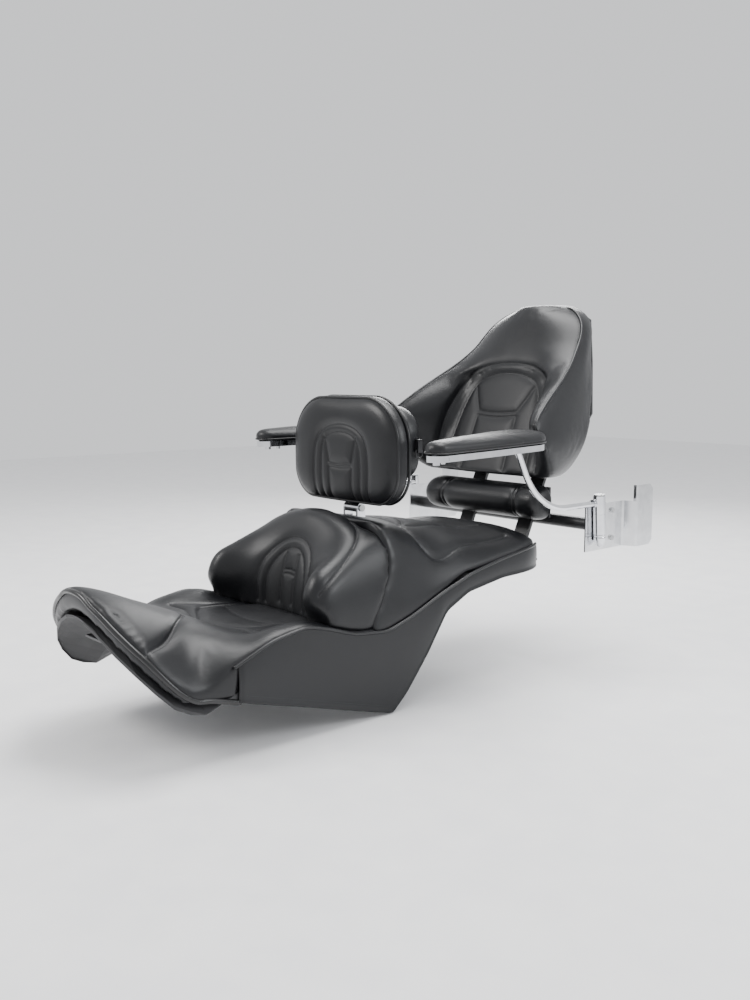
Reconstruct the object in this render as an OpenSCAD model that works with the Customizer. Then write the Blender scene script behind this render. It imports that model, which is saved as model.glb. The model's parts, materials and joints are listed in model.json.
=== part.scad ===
/* [Saddle] */
// Distance from the nose tip to the back of the passenger cushion
saddle_len = 1022; // [1000:1:1040]
// Half the width of the saddle at the welt line
saddle_half_w = 205; // [198:1:210]
// Thickness of the vinyl covers
cover_t = 2; // [1.5:0.1:3]
// Thickness of the moulded base pan
pan_t = 4; // [3:0.5:6]
// Diameter of the welt piping
welt_d = 6; // [4:0.5:8]

/* [Bolster] */
// Height of the rider bolster's crest above the datum
bolster_top = 296; // [285:1:298]
// Half width of the lap cut-out in the bolster
lap_half_w = 152; // [140:1:160]
// Length from the back of the lap cut-out to its centre
lap_depth = 150; // [140:1:155]

/* [Frame bolts] */
// Position of the stud pattern's centre behind the nose tip
bolt_y = 900; // [880:5:910]
// Stud spacing across the seat
stud_dx = 240; // [200:10:260]
// Stud spacing along the seat
stud_dy = 120; // [100:10:130]
// Stud diameter
stud_d = 8; // [8:1:10]
// Free length of each stud
stud_len = 28; // [24:1:36]

/* [Rider backrest] */
// Width of the rider backrest pad
rest_w = 336; // [320:1:340]
// Height of the rider backrest pad
rest_h = 220; // [210:1:224]
// Depth of the rider backrest pad without its pouch
rest_depth = 42; // [41:0.5:43]
// Depth of the pouch on the back of the pad
pouch_depth = 42; // [36:1:44]
// Height of the fold hinge above the datum
fold_z = 293; // [292:1:294]
// Diameter of the fold hinge pin
fold_pin_d = 10; // [8:1:10]
// Width of the flat post
post_w = 30; // [26:1:30]
// Thickness of the flat post
post_t = 10; // [8:1:10]

/* [Passenger backrest] */
// Recline of the backrest carrier from vertical, in degrees
recline = 25; // [24:1:26]
// Height of the backrest's top edge above the datum
back_top = 738; // [730:1:742]

/* [Armrests] */
// Distance from the centre plane to each armrest pivot
pivot_x = 293; // [290:1:296]
// Diameter of the armrest pivot pin
pivot_pin_d = 16; // [14:1:16]
// Outer diameter of the pivot barrel
barrel_d = 27; // [25:1:28]
// Diameter of the armrest tube
arm_tube_d = 12.7; // [12:0.1:14]
// Thickness of the armrest's chrome rail
rail_t = 12; // [10:1:13]
// Thickness of the armrest's pad
arm_pad_t = 27; // [22:1:30]

/* [Hidden] */
$fn = 48;

// The shapes below are drawn from the nose tip backwards, over a datum at the height of
// the side panels' middle.  placed() moves them so that the stud pattern is the origin.
base_z = 148;
module placed() { translate([0, -bolt_y, -base_z]) children(); }
module both_sides() {
  children();
  mirror([1, 0, 0]) children();
}

function mix(a, b, t) = a + (b - a) * t;
function clamp01(t) = max(0, min(1, t));
function ease(t) = let (c = clamp01(t)) c * c * (3 - 2 * c);

// Closed solid through a list of closed rings that all have the same number of points.
// Each ring runs clockwise when seen from the far end, or the list is given back to front.
// A ring's first and last points are a pair, and so on inwards: the ends close in strips.
// From the point numbered turn on, the sides' quads are halved along their other diagonal,
// so that two bodies whose rings run opposite ways along a shared face have the same facets.
function reversed(list) = [for (i = [len(list) - 1 : -1 : 0]) list[i]];
function end_cap(n, k) = [for (i = [0 : ceil(n / 2) - 2]) let (a = k + i, b = a + 1, d = k + n - 1 - i, c = d - 1)
  each b == c ? [[a, c, d]] : [[a, b, c], [a, c, d]]];
module skin(rings, turn = 1000) {
  n = len(rings[0]);
  m = len(rings);
  sides = [for (j = [0 : m - 2]) for (i = [0 : n - 1]) let (a = j * n + i, b = j * n + (i + 1) % n)
    each i < turn ? [[a, b + n, b], [a, a + n, b + n]] : [[a, a + n, b], [b, a + n, b + n]]];
  polyhedron([for (r = rings) each r],
    concat(sides, end_cap(n, 0), [for (f = end_cap(n, (m - 1) * n)) reversed(f)]));
}

// Open path in a plane, moved to its right by the given distance, with its corners kept sharp
function lining(path, t) = let (n = len(path) - 1) [for (i = [0 : n])
  let (u = path[min(n, i + 1)] - path[min(n - 1, i)], v = path[max(1, i)] - path[max(0, i - 1)])
  let (a = [u[1], -u[0]] / norm(u), b = [v[1], -v[0]] / norm(v), c = (a + b) / norm(a + b))
  path[i] + c * t / (c * a)];
// Closed loop around an open path in a plane, with the given thickness to its right
function band(path, t) = concat(path, reversed(lining(path, t)));

// Section of a sheet over a saddle-shaped body, from hem to hem
x_steps = [for (i = [0 : 16]) sin(90 * (i / 8 - 1))];
function over(w, y, top, hem) = concat([[-w, min(hem(y), top(w, y) - 1)]],
  [for (k = x_steps) [k * w, top(k * w, y)]], [[w, min(hem(y), top(w, y) - 1)]]);

// Sheet of the given thickness hung over a saddle-shaped body, with a hem height at each side
module drape(stations, half_w, top, hem, t) {
  skin([for (y = stations) [for (q = band(over(half_w(y), y, top, hem), t)) [q[0], y, q[1]]]],
    len(x_steps) + 2);
}

// Body that fills the same sheet, down to a base
module filling(stations, half_w, top, hem, base, t) {
  skin([for (y = stations) let (w = half_w(y), n = len(x_steps) + 1, low = base(w - t, y) + 0.5) concat(
      [for (i = [0 : n]) let (q = lining(over(w, y, top, hem), t)[i])
        [q[0], y, i % n == 0 ? max(q[1], low) : q[1]]],
      [for (k = reversed(x_steps)) [k * (w - t), y, base(k * (w - t), y)]])],
    len(x_steps) + 2);
}

// Round bead along a path, its sections standing upright across the path
module bead(path, r) {
  n = len(path) - 1;
  skin([for (i = [n : -1 : 0])
    let (d = path[min(n, i + 1)] - path[max(0, i - 1)], across = [d[1], -d[0], 0] / norm([d[0], d[1]]))
    [for (a = [0 : 45 : 315]) path[i] + r * cos(a) * across + [0, 0, r * sin(a)]]]);
}

// A box with two opposite corners given
module block(lo, hi) { translate(lo) cube(hi - lo); }

// ---- Saddle surface -------------------------------------------------------------------
nose_y0 = 8;
split_y = 552;
// Height of the middle of the saddle, of its thigh ridges and of its welt line, by station
mid_line = [[0, 212], [30, 208], [65, 196], [121, 171], [170, 151], [225, 127], [255, 110],
  [342, 102], [437, 98], [520, 92], [552, 92]];
welt_line = [[138, 60], [202, 88], [271, 116], [347, 129], [404, 114], [459, 95], [542, 87],
  [605, 106], [688, 140], [775, 169], [867, 187], [948, 199], [1040, 205]];
arch_line = [[0, 0.0036], [18, 0.0036], [28, 0.003], [50, 0.0027], [90, 0.00277], [138, 0.0026], [200, 0.0011], [260, 0], [600, 0]];
seat_line = [[552, 290], [593, 281], [648, 268], [763, 258], [856, 238], [953, 236], [1022, 226]];
skirt_line = [[138, 34], [207, 15], [334, -21], [451, -55], [552, -83], [592, -47], [647, 19],
  [700, 96], [763, 126], [867, 142], [1040, 147]];

plan_w = function(y) y < 138 ? saddle_half_w * pow(1 - pow(1 - clamp01((y - 6) / 132), 3), 0.55)
  : y > 900 ? saddle_half_w - 40 * pow(clamp01((y - 900) / 125), 3)
  : saddle_half_w;
rider_top = function(x, y) let (t = clamp01(abs(x) / saddle_half_w))
  let (arch = lookup(y, mid_line) - lookup(y, arch_line) * x * x)
  let (dish = mix(lookup(y, mid_line), lookup(y, welt_line) + 9 - 12 * pow(t, 10), pow(t, 2.2)))
  mix(arch, dish, ease((y - 150) / 110));
passenger_top = function(x, y) let (t = clamp01(abs(x) / saddle_half_w))
  mix(lookup(y, seat_line), lookup(y, welt_line) + 4, pow(t, mix(9, 3.4, ease((y - split_y) / 200))));
function rider_floor(y) = lookup(y, [[0, 168], [121, 128], [200, 78], [260, 48], [437, 42], [552, 40]]);
// The pan is dished a little, so that it is stiff
function dished(x) = 4 - 4 * pow(x / saddle_half_w, 2);
rider_base = function(x, y) min(rider_top(x, y) - lookup(y, [[50, 14], [160, 26]]),
  rider_floor(y) - dished(x) - lookup(y, arch_line) * x * x);
passenger_base = function(x, y)
  lookup(y, [[552, 40], [590, 66], [700, 128], [760, 162.5], [1040, 162.5]]) - dished(x);
hem = function(y) lookup(y, welt_line) - welt_d;
rider_hem = function(y) y < 138 ? rider_base(plan_w(y), y) + 5 : hem(y);
skirt_low = function(y) lookup(y, skirt_line);

rider_stations = [nose_y0, 14, 24, 40, 60, 85, 110, 138, 170, 200, 225, 250, 280, 310, 347, 376,
  400, 433, 465, 495, 525, split_y];
passenger_stations = [split_y + 0.3, 575, 605, 648, 700, 763, 820, 867, 905, 948, 985, 1008,
  saddle_len];
foam_gap = cover_t + 0.3;

// ---- Rider bolster --------------------------------------------------------------------
bolster_y0 = 376;
bolster_half_w = saddle_half_w - 3;
function bolster_front(x) = let (q = min(1, abs(x) / lap_half_w))
  max(bolster_y0, 462 - lap_depth * (1 - sqrt(1 - 0.9 * q * q)) * 0.92);
function brow(x) = mix(bolster_top - 34, 180, pow(min(1, abs(x) / 172), 1.7));
function crest_back(x) = mix(bolster_top - 3, 250, pow(min(1, abs(x) / 172), 2));
function bolster_side(x) = pow(abs(x) / bolster_half_w, 10);
bolster_u = [0, 0.04, 0.12, 0.25, 0.42, 0.6, 0.8, 1];
bolster_n = len(bolster_u);
function bolster_path(x) = let (y0 = bolster_front(x), y1 = split_y - 0.4,
    base = rider_top(x, y0) + 1.5, low = mix(base, lookup(y0, welt_line) + 16, 0.5))
  [for (u = bolster_u) let (y = mix(y0, y1, pow(u, 1.6)),
      top = mix(brow(x), crest_back(x), sin(90 * u)), rise = pow(min(1, u / 0.25), 0.55))
    [y, max(rider_top(x, y) + 2 + u * 6,
      mix(mix(base, top, rise), lookup(y, welt_line) + 14, bolster_side(x)))]];
bolster_x = [for (a = [-90 : 9 : 90]) sin(a)];

// ---- Rider backrest places ------------------------------------------------------------
fold_y = 632;
rest_y0 = 590;
rest_z0 = 306;
board_y = 626;
board_t = 4;
post_y = 634;
sleeve_wall = 4;
slide_gap = 0.1;
rest_y1 = rest_y0 + rest_depth;
socket_half_w = 23;
ear_t = 5.5;

// ---- Saddle nodes ---------------------------------------------------------------------
module seat_pan() {
  color("#26272a") placed() drape(concat(rider_stations, passenger_stations),
    function(y) plan_w(y) - foam_gap,
    function(x, y) (y > split_y ? passenger_base(x, y) : rider_base(x, y)) - 0.3,
    function(y) y < 138 ? rider_base(plan_w(y), y) - 4 : skirt_low(y) + 4, pan_t);
}
module rider_foam() {
  color("#c9b98f") placed() filling([for (y = rider_stations) if (y > nose_y0) y], plan_w, rider_top,
    rider_hem, rider_base, foam_gap);
}
module rider_cover() {
  color("#1b1c1f") placed() drape(rider_stations, plan_w, rider_top, rider_hem, cover_t);
}
trim_r = 5;
module nose_trim() {
  half = [for (y = [138, 110, 85, 60, 40, 24, 14, nose_y0]) [-plan_w(y), y]];
  edge = concat(half, [for (q = reversed(half)) [-q[0], q[1]]]);
  moved = lining(edge, trim_r + 0.5);
  color("#0c0c0d") placed() bead([for (i = [0 : len(edge) - 1])
    [moved[i][0], moved[i][1], rider_top(edge[i][0], edge[i][1]) - 8]], trim_r);
}
module bolster_foam() {
  color("#c9b98f") placed() skin([for (k = reversed(bolster_x)) let (x = k * bolster_half_w,
      top = lining(bolster_path(x), foam_gap), px = sign(k) * min(abs(x), bolster_half_w - foam_gap))
    concat([for (q = top) [px, q[0], max(q[1], rider_top(x, q[0]) + 2.2)]],
      [for (q = reversed(top)) [px, q[0], rider_top(x, q[0]) + 1.5]])], bolster_n);
}
module bolster_cover() {
  color("#1d1e21") placed() skin([for (k = reversed(bolster_x)) let (x = k * bolster_half_w)
    [for (q = band(bolster_path(x), cover_t)) [x, q[0], max(q[1], rider_top(x, q[0]) + 1)]]], bolster_n);
}
module passenger_foam() {
  color("#c9b98f") placed() filling(passenger_stations, plan_w, passenger_top, hem, passenger_base,
    foam_gap);
}
module passenger_cover() {
  color("#1b1c1f") placed() drape(passenger_stations, plan_w, passenger_top, hem, cover_t);
}
skirt_stations = [138, 170, 207, 260, 334, 400, 451, 500, split_y, 575, 592, 620, 647, 700, 763,
  820, 867, 905, 948, 985, 1008];
module skirt() {
  color("#191a1c") skin([for (y = reversed(skirt_stations)) let (w = plan_w(y), z1 = hem(y) - 3, z0 = skirt_low(y))
    [[w, y, z1], [w - cover_t, y, z1], [w - cover_t, y, z0], [w, y, z0]]]);
}
module left_skirt() { placed() skirt(); }
module right_skirt() { placed() mirror([1, 0, 0]) skirt(); }
module welt_piping() {
  color("#111214") placed() both_sides() bead([for (y = concat(rider_stations, passenger_stations))
    if (y > 190 && y < 1000) [plan_w(y) + welt_d / 2 + 0.3, y, lookup(y, welt_line) - 4]], welt_d / 2);
}
bumper_h = 18;
function pan_under(x, y) = (y > split_y ? passenger_base(x, y) : rider_base(x, y)) - 0.3 - pan_t;
module pan_bumpers() {
  color("#0d0d0e") placed() both_sides() for (q = [[110, 300], [110, 380], [110, 460], [150, 780]])
    translate([q[0], q[1], pan_under(q[0], q[1]) - 0.3 - bumper_h]) cylinder(d = 24, h = bumper_h);
}
tongue_z = 113;
module front_tongue() {
  color("#8b8d90") placed() {
    block([-30, 40, tongue_z], [30, 118, tongue_z + 4]);
    translate([-10, 0, 0]) rotate([90, 0, 90]) linear_extrude(20)
      polygon([[84, tongue_z + 4], [118, tongue_z + 4], [118, pan_under(10, 118)], [84, pan_under(10, 84)]]);
  }
}

// ---- Carrier ----------------------------------------------------------------------------
base_t = 5;
bar_w = 40;
bar_t = 8;
bar_x = 90;
bar_top_z = 610;
bar_foot_y = 1040;
cross_z = 238;
cross_d = 28;
plate_x = 276.2;
plate_t = 3;
function bar_y(z) = bar_foot_y + (z - base_z) * tan(recline);
cross_y = bar_y(cross_z) + (bar_t + cross_d) / 2 / cos(recline) + 0.5;

module carrier_base() {
  color("#2b2c2f") placed() difference() {
    block([-150, bolt_y - 90, base_z], [150, bar_foot_y + 12, base_z + base_t]);
    for (x = [-1, 1], y = [-1, 1])
      translate([x * stud_dx / 2, bolt_y + y * stud_dy / 2, base_z - 1]) cylinder(d = stud_d + 6, h = 20);
  }
}
module carrier_studs() {
  color("#9a9ca0") placed() for (x = [-1, 1], y = [-1, 1])
    translate([x * stud_dx / 2, bolt_y + y * stud_dy / 2, base_z - stud_len]) {
      cylinder(d = stud_d, h = stud_len);
      translate([0, 0, stud_len]) cylinder(d = stud_d + 6, h = base_t);
    }
}
module reclined(y, z) { translate([0, y, z]) rotate([-recline, 0, 0]) children(); }
bar_len = (bar_top_z - base_z) / cos(recline);
module carrier_uprights() {
  color("#2b2c2f") placed() difference() {
    for (s = [-1, 1]) reclined(bar_foot_y, base_z + base_t)
      block([s * bar_x - bar_w / 2, 0, 0], [s * bar_x + bar_w / 2, bar_t, bar_len]);
    block([-200, 900, 0], [200, 1200, base_z + base_t]);
    for (s = [-1, 1], d = back_bolts) reclined(bar_foot_y, base_z + base_t)
      translate([s * bar_x, -1, d]) rotate([-90, 0, 0]) cylinder(d = 8.2, h = 20);
  }
}
back_bolts = [260, 420];
module carrier_bolts() {
  color("#9a9ca0") placed() for (s = [-1, 1], d = back_bolts) reclined(bar_foot_y, base_z + base_t)
    translate([s * bar_x, 0, d]) rotate([-90, 0, 0]) {
      translate([0, 0, -8]) cylinder(d = 8.2, h = 8 + bar_t);
      translate([0, 0, bar_t]) cylinder(d = 15, h = 6, $fn = 6);
    }
}
module carrier_crossbar() {
  color("#2b2c2f") placed() difference() {
    union() {
      translate([-plate_x, cross_y, cross_z]) rotate([0, 90, 0]) cylinder(d = cross_d, h = 2 * plate_x);
      both_sides() block([bar_x - 12, bar_y(cross_z) + 4, cross_z - 9], [bar_x + 12, cross_y, cross_z + 9]);
    }
    translate([-plate_x - 1, cross_y, cross_z]) rotate([0, 90, 0]) cylinder(d = cross_d - 6, h = 2 * plate_x + 2);
    for (s = [-1, 1]) reclined(bar_foot_y, base_z + base_t)
      block([s * bar_x - bar_w / 2, -20, 0], [s * bar_x + bar_w / 2, bar_t, bar_len]);
  }
}

// ---- Lumbar roll ------------------------------------------------------------------------
roll_half = 182;
roll_y0 = 1000;
roll_z0 = 240;
roll_z1 = 322;
roll_x = [-1, -0.97, -0.88, 0, 0.88, 0.97, 1];
function roll_path(k, inset) = let (mid_z = (roll_z0 + roll_z1) / 2, r = (roll_z1 - roll_z0) / 2,
    q = r * (abs(k) > 0.98 ? 0.8 : abs(k) > 0.9 ? 0.95 : 1) - inset)
  concat([[roll_y0 + 66, mid_z + q]],
    [for (a = [0 : 15 : 180]) [roll_y0 + r + 2 - q * sin(a), mid_z + q * cos(a)]],
    [[roll_y0 + 66, mid_z - q]]);
module roll_board() {
  color("#26272a") placed() {
    block([-170, roll_y0 + 66.2, roll_z0 + 6], [170, roll_y0 + 71, roll_z1 - 6]);
    difference() {
      for (s = [-1, 1]) block([s * bar_x - 12, roll_y0 + 71, 268], [s * bar_x + 12, roll_y0 + 130, 296]);
      reclined(bar_foot_y, base_z + base_t) block([-200, 0, 0], [200, 100, bar_len]);
    }
  }
}
module roll_foam() {
  color("#c9b98f") placed() skin([for (k = reversed(roll_x))
    [for (q = roll_path(k, foam_gap)) [-k * (roll_half - foam_gap), q[0], q[1]]]]);
}
module roll_cover() {
  color("#1b1c1f") placed() skin([for (k = reversed(roll_x))
    [for (q = band(roll_path(k, 0), -cover_t)) [-k * roll_half, q[0], q[1]]]]);
}

// ---- Passenger backrest -----------------------------------------------------------------
// Crest of the horseshoe bolster: height, distance from the centre plane, station
crest = [[338, 190, 1046], [352, 214, 1022], [380, 232, 988], [410, 243, 960], [440, 244, 938],
  [460, 240, 924], [480, 233, 943], [500, 226, 969], [520, 219, 997], [540, 212, 1029],
  [560, 202, 1065], [580, 191, 1097], [600, 180, 1126], [620, 170, 1151], [640, 161, 1174],
  [660, 155, 1190], [680, 146, 1204], [700, 130, 1218], [720, 100, 1234], [732, 60, 1246]];
back_crown = 6;
function back_plane(z) = 1030 + 0.42 * (z - 360);
function shell_y(z) = bar_y(z) - 9 / cos(recline) - 1.5;
function recess_w(z) = z > 592 ? 0 : z > 560 ? mix(0, 118, sqrt((592 - z) / 32)) : mix(160, 118, (z - 338) / 222);
function front_y(t, z, c) = let (
    w = c[1],
    rw = recess_w(z),
    edge = c[2],
    flat = z > 592 ? edge - 4 : back_plane(z) - back_crown * (1 - pow(min(1, t * w / max(rw, 1)), 2)))
  z > 592 ? mix(back_plane(592) + (z - 592) * 0.55 - 6, edge, pow(t, 3))
  : (t * w < rw ? flat : mix(flat, edge, ease((t * w - rw) / (w - rw) * 1.15)));
crest_steps = [0, 0.2, 0.4, 0.55, 0.68, 0.78, 0.88, 0.96, 1];
function back_half(c) = let (w = c[1], y1 = shell_y(c[0]), wr = w * 0.84)
  concat([for (t = crest_steps) [t * w, min(front_y(t, c[0], c), y1 - 12)]],
    [[mix(w, wr, 0.5) + 4, mix(c[2], y1, 0.55)], [wr, y1]]);
function mirrored(half) = concat([for (i = [len(half) - 1 : -1 : 1]) [-half[i][0], half[i][1]]], half);
module back_shell() {
  color("#26272a") placed() skin([for (z = [338, 480, 600, 700, 732])
    let (w = lookup(z, [for (c = crest) [c[0], c[1]]]) * 0.84 - 3, y = shell_y(z) + 0.3)
    [[-w, y, z], [w, y, z], [w, y + 5, z], [-w, y + 5, z]]]);
}
crest_end = len(crest) - 1;
foam_crest = [mix(crest[0], crest[1], 0.2), for (i = [1 : crest_end - 1]) crest[i],
  mix(crest[crest_end], crest[crest_end - 1], 0.2)];
module back_foam() {
  color("#c9b98f") placed() skin([for (c = foam_crest)
    [for (q = lining(mirrored(back_half(c)), -foam_gap - 0.4)) [q[0], q[1], c[0]]]]);
}
module back_cover() {
  color("#1b1c1f") placed() skin([for (c = crest)
    [for (q = band(mirrored(back_half(c)), -cover_t)) [q[0], q[1], c[0]]]], 2 * len(crest_steps) + 3);
}
module back_piping() {
  color("#111214") placed() both_sides() skin([for (c = crest) if (c[0] > 400)
    [for (a = [0 : 60 : 300]) [c[1] + 3.4 + 3 * cos(a), c[2] + 2 + 3 * sin(a), c[0]]]]);
}

// ---- Rider backrest ---------------------------------------------------------------------
post_foot_z = 94;
socket_top_z = 262;
fold_r = 10;
ear_r = 10.5;
post_top_z = 478;
sleeve_z = [322, 402];

module post_socket() {
  color("#c8cacd") placed() difference() {
    union() {
      block([-socket_half_w, fold_y - 14, post_foot_z], [socket_half_w, fold_y + 14, socket_top_z]);
      for (s = [-1, 1]) {
        x0 = s > 0 ? socket_half_w - ear_t : -socket_half_w;
        block([x0, fold_y - ear_r, socket_top_z - 1], [x0 + ear_t, fold_y + ear_r, fold_z]);
        translate([x0, fold_y, fold_z]) rotate([0, 90, 0]) cylinder(r = ear_r, h = ear_t);
      }
    }
    translate([-60, fold_y, fold_z]) rotate([0, 90, 0]) cylinder(d = fold_pin_d, h = 120);
    block([-socket_half_w + ear_t, fold_y - 20, fold_z - 15], [socket_half_w - ear_t, fold_y + 20, 400]);
  }
}
module fold_pin() {
  color("#9a9ca0") placed() {
    translate([-socket_half_w - 0.1, fold_y, fold_z]) rotate([0, 90, 0])
      cylinder(d = fold_pin_d, h = 2 * socket_half_w + 0.2);
    both_sides() translate([socket_half_w, fold_y, fold_z]) rotate([0, 90, 0]) cylinder(d = 15, h = 3);
  }
}
module rest_post() {
  color("#c8cacd") placed() difference() {
    union() {
      translate([-socket_half_w + ear_t + 0.4, fold_y, fold_z]) rotate([0, 90, 0])
        cylinder(r = fold_r, h = 2 * (socket_half_w - ear_t - 0.4));
      block([-post_w / 2, post_y, fold_z], [post_w / 2, post_y + post_t, post_top_z]);
    }
    translate([-60, fold_y, fold_z]) rotate([0, 90, 0]) cylinder(r = fold_pin_d / 2 + 0.05, h = 120);
  }
}
module post_sleeve() {
  color("#8b8d90") placed() difference() {
    block([-post_w / 2 - sleeve_wall, board_y + board_t, sleeve_z[0]],
      [post_w / 2 + sleeve_wall, post_y + post_t + sleeve_wall, sleeve_z[1]]);
    block([-post_w / 2 - slide_gap, post_y - slide_gap, 0],
      [post_w / 2 + slide_gap, post_y + post_t + slide_gap, 600]);
    translate([0, post_y + post_t - 1, knob_z]) rotate([-90, 0, 0]) cylinder(r = 3.05, h = 20);
  }
}
knob_z = 334;
module height_knob() {
  color("#141416") placed() {
    translate([0, post_y + post_t + 0.3, knob_z]) rotate([-90, 0, 0]) cylinder(r = 3, h = 12);
    translate([0, post_y + post_t + sleeve_wall + 0.4, knob_z]) rotate([-90, 0, 0]) cylinder(r = 11, h = 12);
    block([-14, post_y + post_t + sleeve_wall + 4, knob_z - 3.5],
      [14, post_y + post_t + sleeve_wall + 16, knob_z + 3.5]);
  }
}
// Outline of the pad: a rounded rectangle with rounder upper corners
module pad_outline(inset, w, h, r_top, r_low) {
  translate([0, -inset]) hull() {
    for (s = [-1, 1]) {
      translate([s * (w / 2 - r_top), h - r_top]) circle(r = r_top - inset, $fn = 40);
      translate([s * (w / 2 - r_low), r_low + inset]) circle(r = r_low - inset, $fn = 40);
    }
  }
}
// The same outline as points, from the middle of the top edge round to it again
function pad_loop(y, inset, w = rest_w, h = rest_h, z0 = rest_z0, r_top = 100, r_low = 70, step = 10) = [
  for (a = [90 - step / 2 : -step : 0]) [w / 2 - r_top + (r_top - inset) * cos(a), y,
    z0 + h - r_top + (r_top - inset) * sin(a)],
  for (a = [0 : -step : -90]) [w / 2 - r_low + (r_low - inset) * cos(a), y,
    z0 + r_low + (r_low - inset) * sin(a)],
  for (a = [-90 : -step : -180]) [r_low - w / 2 + (r_low - inset) * cos(a), y,
    z0 + r_low + (r_low - inset) * sin(a)],
  for (a = [180 : -step : 90]) [r_top - w / 2 + (r_top - inset) * cos(a), y,
    z0 + h - r_top + (r_top - inset) * sin(a)]];
// Depth from the front and inset of each ring that rounds the pad's front edge
pad_round = [[0, 26], [1.5, 16], [5, 8.5], [11, 3], [20, 0]];
module rest_foam() {
  color("#c9b98f") placed() skin(concat(
    [for (q = pad_round) pad_loop(rest_y0 + foam_gap + q[0], foam_gap + q[1])],
    [pad_loop(board_y - 0.2, foam_gap)]));
}
module rest_cover() {
  color("#1b1c1f") placed() skin(concat(
    [for (q = pad_round) pad_loop(rest_y0 + q[0], q[1])],
    [pad_loop(rest_y1, 0), pad_loop(rest_y1, cover_t)],
    [for (q = reversed(pad_round)) pad_loop(rest_y0 + cover_t + q[0], cover_t + q[1])]));
}
module rest_board() {
  color("#26272a") placed() translate([0, board_y + board_t, rest_z0 + 6])
    rotate([90, 0, 0]) linear_extrude(board_t) pad_outline(6, rest_w, rest_h, 100, 70);
}
module rest_piping() {
  color("#111214") placed() translate([0, rest_y1 + 4.4, rest_z0]) rotate([90, 0, 0])
    linear_extrude(4) difference() {
      pad_outline(0, rest_w, rest_h, 100, 70);
      translate([0, 6]) pad_outline(6, rest_w, rest_h, 100, 70);
      translate([-28, -10]) square([56, 22]);
    }
}
pouch_y0 = post_y + post_t + sleeve_wall + 0.2;
pouch_w = 290;
pouch_z0 = 356;
pouch_h = 150;
module rest_pouch() {
  color("#151618") placed() skin([for (q = [[0, 5], [10, 0], [pouch_depth - 14, 0],
    [pouch_depth - 5, 5], [pouch_depth, 14]])
    pad_loop(pouch_y0 + q[0], q[1], pouch_w, pouch_h, pouch_z0, 60, 44)]);
}
zip_y = pouch_y0 + pouch_depth + 0.1;
zip_z = 470;
module pouch_zip() {
  color("#0d0d0e") placed() {
    block([-95, zip_y, zip_z - 8], [95, zip_y + 1.2, zip_z + 8]);
    block([-92, zip_y + 1.2, zip_z - 2.5], [92, zip_y + 3, zip_z + 2.5]);
  }
}
module zip_slider() {
  color("#9a9ca0") placed() {
    block([-90, zip_y + 3.3, zip_z - 5], [-78, zip_y + 6.3, zip_z + 5]);
    block([-87, zip_y + 3.6, zip_z - 30], [-81, zip_y + 5.4, zip_z - 5]);
  }
}
ring_x = pouch_w / 2 + 6;
ring_y = 674;
ring_z = 418;
module ring_tabs() {
  color("#141416") placed() both_sides() difference() {
    block([pouch_w / 2 + 0.2, ring_y - 6, ring_z - 4], [ring_x + 4, ring_y + 6, ring_z + 22]);
    translate([ring_x, ring_y - 20, ring_z]) rotate([-90, 0, 0]) cylinder(r = 1.55, h = 40);
  }
}
module d_ring() {
  color("#1a1a1c") translate([ring_x, ring_y, ring_z]) {
    translate([0, -9, 0]) rotate([-90, 0, 0]) cylinder(r = 1.5, h = 18);
    translate([0, 0, -6]) rotate([0, 90, 0]) rotate([0, 0, -90]) rotate_extrude(angle = 180, $fn = 48)
      translate([9, 0]) circle(r = 1.5, $fn = 24);
    for (s = [-9, 9]) translate([0, s, -6]) cylinder(r = 1.5, h = 6);
  }
}
module left_ring() { placed() d_ring(); }
module right_ring() { placed() mirror([1, 0, 0]) d_ring(); }

// ---- Armrests ---------------------------------------------------------------------------
arm_lean = 3.5;
pivot_y = 1090;
pivot_z0 = 190;
bullet_h = 32;
collar_z = 77;
collar_h = 40;
boss_z = 99;
tube_x = pivot_x - 4;
rail_z0 = 414;
rail_slope = 1.5;

module leaned() {
  translate([pivot_x, pivot_y, pivot_z0]) rotate([arm_lean, 0, 0]) children();
}
flange_x = 306;
// The bracket's section from above: a flat panel, a joggle outwards and a flange
module plate_profile() {
  polygon([[plate_x, 1056], [plate_x + plate_t, 1056], [plate_x + plate_t, 1189],
    [plate_x + plate_t + 3, 1194], [flange_x, 1203], [flange_x + plate_t, 1209],
    [flange_x + plate_t, 1266], [flange_x, 1266], [flange_x, 1210.5], [flange_x - 1.5, 1206],
    [plate_x + plate_t + 1.6, 1197], [plate_x, 1191.5]]);
}
plate_z = [183, 322];
panel_top = 286;
flange_y = 1266;
module arm_plate() {
  color("#dfe1e3") difference() {
    translate([0, 0, plate_z[0]]) linear_extrude(plate_z[1] - plate_z[0]) plate_profile();
    block([200, 1000, panel_top], [340, 1204, 400]);
    for (z = plate_z) translate([flange_x, flange_y, z]) rotate([45, 0, 0]) cube([40, 16, 16], center = true);
  }
}
pin_z = 18;
module pivot_barrel() {
  color("#c8cacd") difference() {
    union() {
      leaned() translate([0, 0, bullet_h + 0.3]) cylinder(d = barrel_d, h = collar_z - bullet_h - 0.6);
      block([plate_x + plate_t, pivot_y - 6, 230], [plate_x + plate_t + 4, pivot_y + 2, 260]);
    }
    leaned() translate([0, 0, pin_z]) cylinder(d = pivot_pin_d, h = 200);
  }
}
module bullet_cap() {
  color("#c8cacd") difference() {
    leaned() {
      translate([0, 0, 14]) cylinder(d = barrel_d - 1, h = bullet_h - 14);
      translate([0, 0, 2]) cylinder(d1 = 10, d2 = barrel_d - 1, h = 12, $fn = 64);
    }
    leaned() translate([0, 0, pin_z]) cylinder(d = pivot_pin_d, h = 200);
  }
}
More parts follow.
